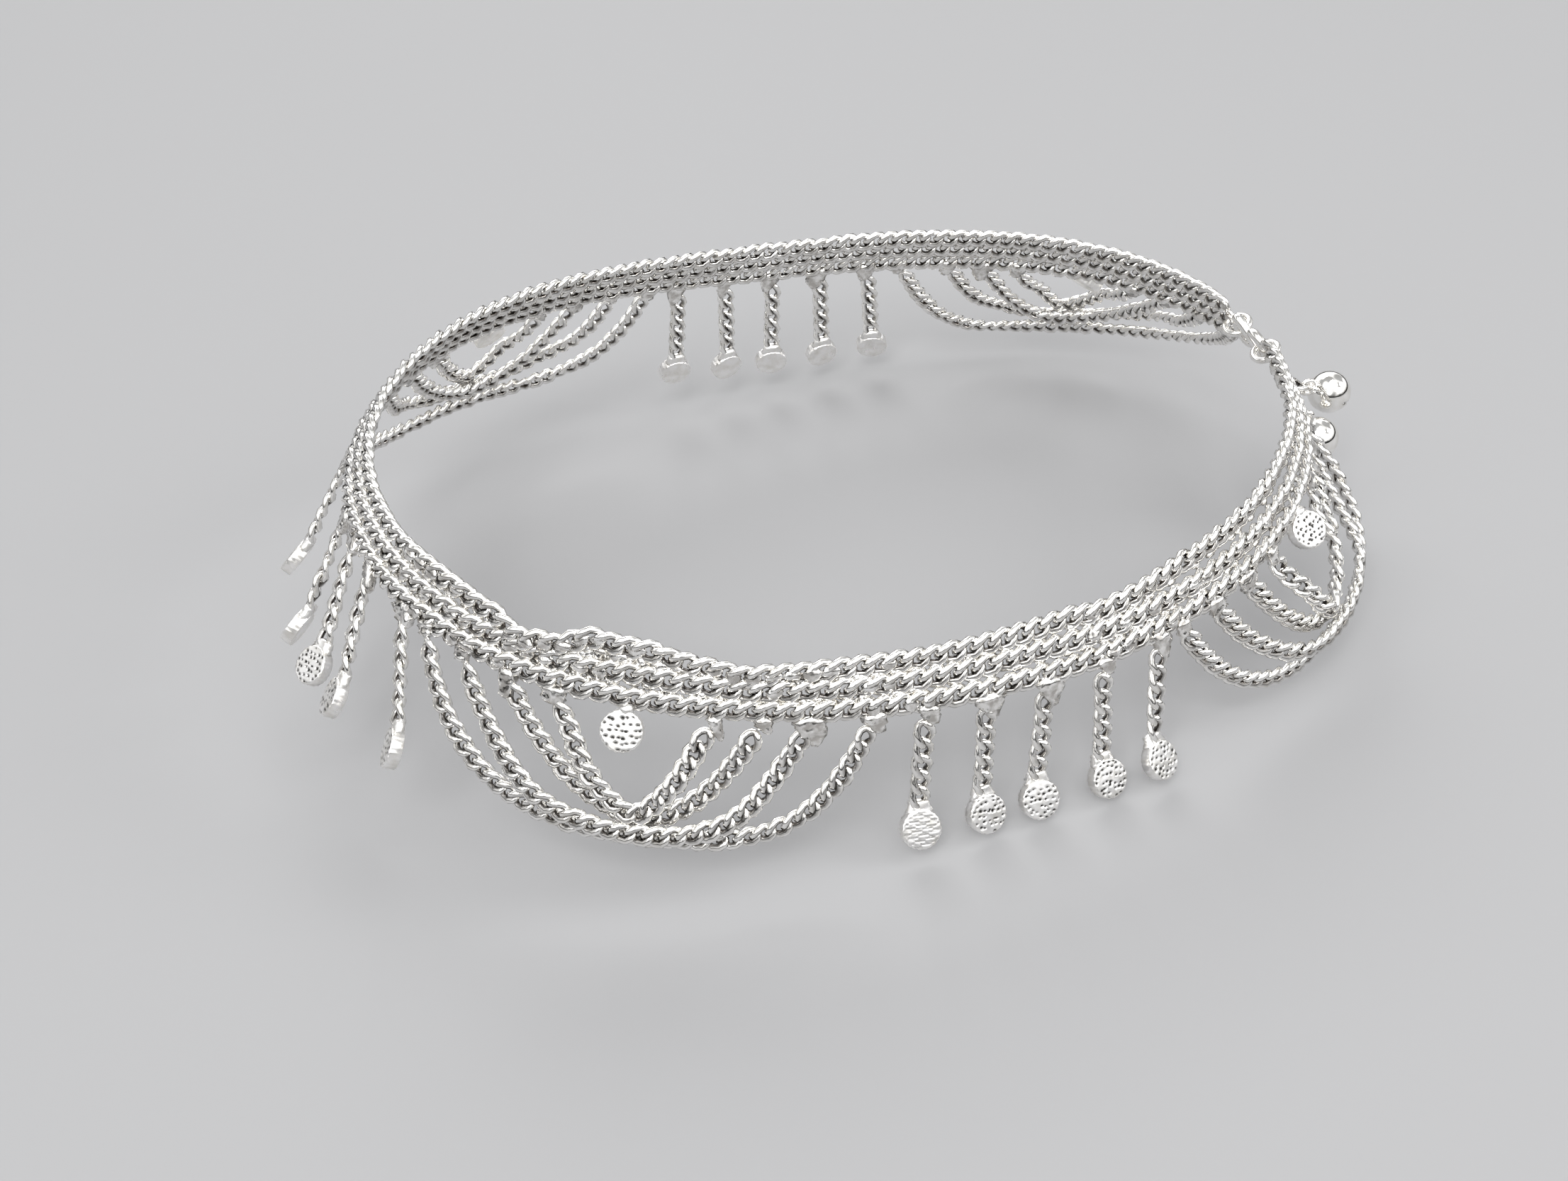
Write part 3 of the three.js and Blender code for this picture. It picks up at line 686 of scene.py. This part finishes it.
def slitBall(centre, x, y, z):
    # Two domes by longitude about z and latitude from a seam: the seam opens into the slit
    # over the lower part, where it lies half a slit's width off the middle.
    around, up = bell["around"], bell["up"]
    longitude = np.linspace(0, turn, around, endpoint=False)
    away = np.abs((longitude + np.pi) % turn - np.pi)
    parted = np.clip((np.radians(bell["slitHalf"]) - away) / np.radians(bell["slitEase"]), 0, 1)
    gap = parted ** 0.5 * bell["slit"] / 2 / bell["radius"]
    rise = np.linspace(0, 1, up)[:, None]
    latitude = gap[None, :] + (np.pi / 2 * bell["pole"] - gap[None, :]) * rise
    side = np.arange(around)
    last = (up - 1) * around
    cap = np.stack([last + side, last + (side + 1) % around, np.full(around, up * around)], -1)
    faces = tubeFaces(1, up, around, False)[:, ::-1].tolist() + cap.tolist()
    parts = []
    for sign in (1, -1):
        flatPart = np.cos(latitude)[..., None] * (
            np.cos(longitude)[None, :, None] * x + np.sin(longitude)[None, :, None] * y)
        grid = centre + bell["radius"] * (flatPart + sign * np.sin(latitude)[..., None] * z)
        points = np.concatenate([grid.reshape(-1, 3), [centre + sign * bell["radius"] * z]])
        parts.append((points, faces if sign == 1 else [face[::-1] for face in faces]))
    return join(parts)


bandWire = []
for name, row in bells.items():
    hang = hangFrame(row["link"], row["swing"], row["lean"])
    origin, x, y, z = hang
    wedges.append(solderWedge(hang, tab))
    bandWire.append(linkLoops((origin + x * bellLink["middle"])[None], x[None], z[None], bellLink))
    ringMiddle = bell["ringEnd"] + bell["ring"]
    middle = ringMiddle + bell["ring"] - bell["wire"] / 4 + bell["radius"]
    ball = addMesh(name + "_ball", bare(slitBall(origin + x * middle, x, y, z)), plainSilver,
                   [name])
    weld = ball.modifiers.new("seam", "WELD")
    weld.merge_threshold = bell["weld"] * millimetre
    wall = ball.modifiers.new("wall", "SOLIDIFY")
    wall.thickness = bell["wall"] * millimetre
    wall.offset = -1
    ring = join([
        ringWire(origin + x * ringMiddle, x, z, bell["ring"], bell["wire"]),
        solderWedge((origin + x * (middle - bell["radius"]), x, y, z), bellNeck)])
    addMesh(name + "_ring", ring, plainSilver, [name])
print("bells ready")


# the clasp: a ring across each end of the band and an S-hook between them
endRing = dict(radius=1.25, wire=0.7, reach=0.95)
endSolder = dict(back=0.35, radii=(0.55, 0.8, 0.42), rings=6, sides=10, rough=0.08)
hook = dict(wire=1.0, radius=1.45, mouth=130, waist=80, bowPoints=8, points=70, sides=14,
            blunt=40, tip=0.04, beyond=2)
ringCentres = []
for link, sign in ((band["lastLink"], 1), (band["firstLink"] + loopLength / band["pitch"], -1)):
    station = stationAt(link)
    z = slopeOut(station["outward"], station["bandFlare"])
    x = unit(station["along"] * sign - z * (station["along"] * sign @ z))
    centre = drape(link, bandWidth / 2) + x * endRing["reach"]
    ringCentres.append(centre)
    bandWire.append(ringWire(centre, x, z, endRing["radius"], endRing["wire"]))
    for row in range(band["rows"]):
        at = drape(link, (row + 0.5) * band["rowWidth"]) - x * endSolder["back"]
        wedges.append(lump(at, x, np.cross(z, x), z, endSolder["radii"], endSolder["rings"],
                           endSolder["sides"], endSolder["rough"]))
addMesh("bandRings", join(bandWire), plainSilver, ["band"])
addMesh("bandWedges", bare(join(wedges)), solderSilver, ["band"])

station = stationAt(band["lastLink"] + hook["beyond"])
hookAlong = ringCentres[1] - ringCentres[0]
reach = np.linalg.norm(hookAlong) / 2
hookAlong = unit(hookAlong)
hookOut = slopeOut(station["outward"], station["bandFlare"])
hookOut = unit(hookOut - hookAlong * (hookOut @ hookAlong))
hookSide = np.cross(hookOut, hookAlong)


def bow(sign, start, end):
    # points on the circle at one end of the hook, from start to end in degrees
    angle = np.radians(np.linspace(start, end, hook["bowPoints"]))
    return np.stack([
        sign * (reach - hook["radius"] + hook["radius"] * np.cos(angle)),
        sign * hook["radius"] * np.sin(angle)], -1)


def smoothLine(points, count):
    # a Catmull-Rom line through the points
    before, after = 2 * points[:1] - points[1:2], 2 * points[-1:] - points[-2:-1]
    points = np.concatenate([before, points, after])
    at = np.linspace(0, len(points) - 3 - 1e-6, count)
    i = at.astype(int)
    t = (at - i)[:, None]
    a, b, c, d = points[i], points[i + 1], points[i + 2], points[i + 3]
    return 0.5 * (2 * b + (c - a) * t + (2 * a - 5 * b + 4 * c - d) * t * t
                  + (3 * b - a - 3 * c + d) * t ** 3)


# the S from the mouth of one bow over its waist to the other's, and a round wire along it
# whose tips are rounded off
bows = [bow(-1, -hook["mouth"], hook["waist"]), bow(1, hook["waist"], -hook["mouth"])]
line = smoothLine(np.concatenate(bows), hook["points"])
line = (ringCentres[0] + ringCentres[1]) / 2 + line[:, :1] * hookAlong + line[:, 1:] * hookSide
side = np.cross(hookOut, unit(np.gradient(line, axis=0)))
v = np.linspace(0, turn, hook["sides"], endpoint=False)
taper = np.sqrt(np.clip(1 - np.linspace(-1, 1, len(line)) ** hook["blunt"], hook["tip"], 1))
grid = line[:, None, :] + taper[:, None, None] * hook["wire"] / 2 * (
    np.cos(v)[None, :, None] * side[:, None, :] + np.sin(v)[None, :, None] * hookOut)
addMesh("clasp_hook_wire", capped(grid), plainSilver, ["clasp_hook"])
print("clasp ready")


# the photograph's view
view = {
    "eye": (-47.6, -129.29, 90.97),
    "back": (-0.2317, -0.737, 0.635),
    "right": (0.9388, -0.3405, -0.0526),
    "focal": 40.08,
    "sensor": 36,
    "near": 0.005,
}
camera = bpy.data.objects.new("camera", bpy.data.cameras.new("camera"))
bpy.context.scene.collection.objects.link(camera)
back = Vector(view["back"]).normalized()
right = Vector(view["right"])
right = (right - back * right.dot(back)).normalized()
turnTo = Matrix((right, back.cross(right), back)).transposed().to_4x4()
camera.matrix_world = Matrix.Translation(Vector(view["eye"]) * millimetre) @ turnTo
camera.data.lens = view["focal"]
camera.data.sensor_width = view["sensor"]
camera.data.clip_start = view["near"]
bpy.context.scene.camera = camera

paper = dict(half=20, below=0.0006, colour=(0.31, 0.31, 0.315, 1), roughness=0.8)
floor = bpy.data.meshes.new("floor")
corners = np.array([(-1, -1, 0), (1, -1, 0), (1, 1, 0), (-1, 1, 0)]) * paper["half"]
floor.from_pydata(corners.tolist(), [], [(0, 1, 2, 3)])
floor.transform(Matrix.Translation((0, 0, cadBox[0][2] - paper["below"])))
palePaper = bpy.data.materials.new("palePaper")
palePaper.use_nodes = True
paperShader = palePaper.node_tree.nodes["Principled BSDF"]
paperShader.inputs["Base Color"].default_value = paper["colour"]
paperShader.inputs["Roughness"].default_value = paper["roughness"]
floor.materials.append(palePaper)
stand = bpy.data.objects.new("floor", floor)
bpy.context.scene.collection.objects.link(stand)

lamps = [
    dict(name="key", spot=(-0.25, -0.38, 0.55), size=0.3, power=2.6),
    dict(name="fill", spot=(0.5, -0.2, 0.36), size=0.22, power=0.9),
    dict(name="back", spot=(0.05, 0.5, 0.42), size=0.3, power=1.2),
    dict(name="overhead", spot=(0.08, -0.22, 0.65), size=0.5, power=1.4),
]
for lamp in lamps:
    light = bpy.data.lights.new(lamp["name"], "AREA")
    light.size = lamp["size"]
    light.energy = lamp["power"]
    holder = bpy.data.objects.new(lamp["name"], light)
    holder.location = lamp["spot"]
    holder.rotation_euler = (-Vector(lamp["spot"])).to_track_quat("-Z", "Y").to_euler()
    bpy.context.scene.collection.objects.link(holder)

# The room: bright overhead and dark at the height of the eye, so that the metal has
# contrast, with soft clouds of light and shade. shades are heights and how bright it is there.
room = dict(
    shades=[(0.0, 0.01), (0.1, 0.01), (0.19, 0.6), (0.32, 1.05), (0.6, 1.1), (1.0, 1.2)],
    cloudScale=1.7, cloudFrom=(0.38, 0.6), cloudTo=(0.3, 1.15),
    behind=(0.36, 0.36, 0.365, 1), strength=1.35,
)
world = bpy.data.worlds.new("room")
bpy.context.scene.world = world
world.use_nodes = True
nodes, links = world.node_tree.nodes, world.node_tree.links
place = nodes.new("ShaderNodeTexCoord")
split = nodes.new("ShaderNodeSeparateXYZ")
ramp = nodes.new("ShaderNodeValToRGB")
links.new(place.outputs["Generated"], split.inputs["Vector"])
links.new(split.outputs["Z"], ramp.inputs["Fac"])
cloud = nodes.new("ShaderNodeTexNoise")
cloud.inputs["Scale"].default_value = room["cloudScale"]
cloud.inputs["Detail"].default_value = 0
links.new(place.outputs["Generated"], cloud.inputs["Vector"])
dim = nodes.new("ShaderNodeMapRange")
dim.inputs["From Min"].default_value, dim.inputs["From Max"].default_value = room["cloudFrom"]
dim.inputs["To Min"].default_value, dim.inputs["To Max"].default_value = room["cloudTo"]
links.new(cloud.outputs["Fac"], dim.inputs["Value"])
shadeBy = nodes.new("ShaderNodeMix")
shadeBy.data_type = "RGBA"
shadeBy.blend_type = "MULTIPLY"
shadeBy.inputs["Factor"].default_value = 1
links.new(ramp.outputs["Color"], shadeBy.inputs["A"])
links.new(dim.outputs["Result"], shadeBy.inputs["B"])
# what stands behind the floor's far edge is pale, and only reflections see the dark horizon
seen = nodes.new("ShaderNodeLightPath")
behind = nodes.new("ShaderNodeMix")
behind.data_type = "RGBA"
behind.inputs["B"].default_value = room["behind"]
links.new(seen.outputs["Is Camera Ray"], behind.inputs["Factor"])
links.new(shadeBy.outputs["Result"], behind.inputs["A"])
links.new(behind.outputs["Result"], nodes["Background"].inputs["Color"])
while len(ramp.color_ramp.elements) < len(room["shades"]):
    ramp.color_ramp.elements.new(0.5)
for stop, (at, shade) in zip(ramp.color_ramp.elements, room["shades"]):
    stop.position = at
    stop.color = (shade, shade, shade, 1)
nodes["Background"].inputs["Strength"].default_value = room["strength"]
bpy.context.scene.view_settings.view_transform = "Standard"
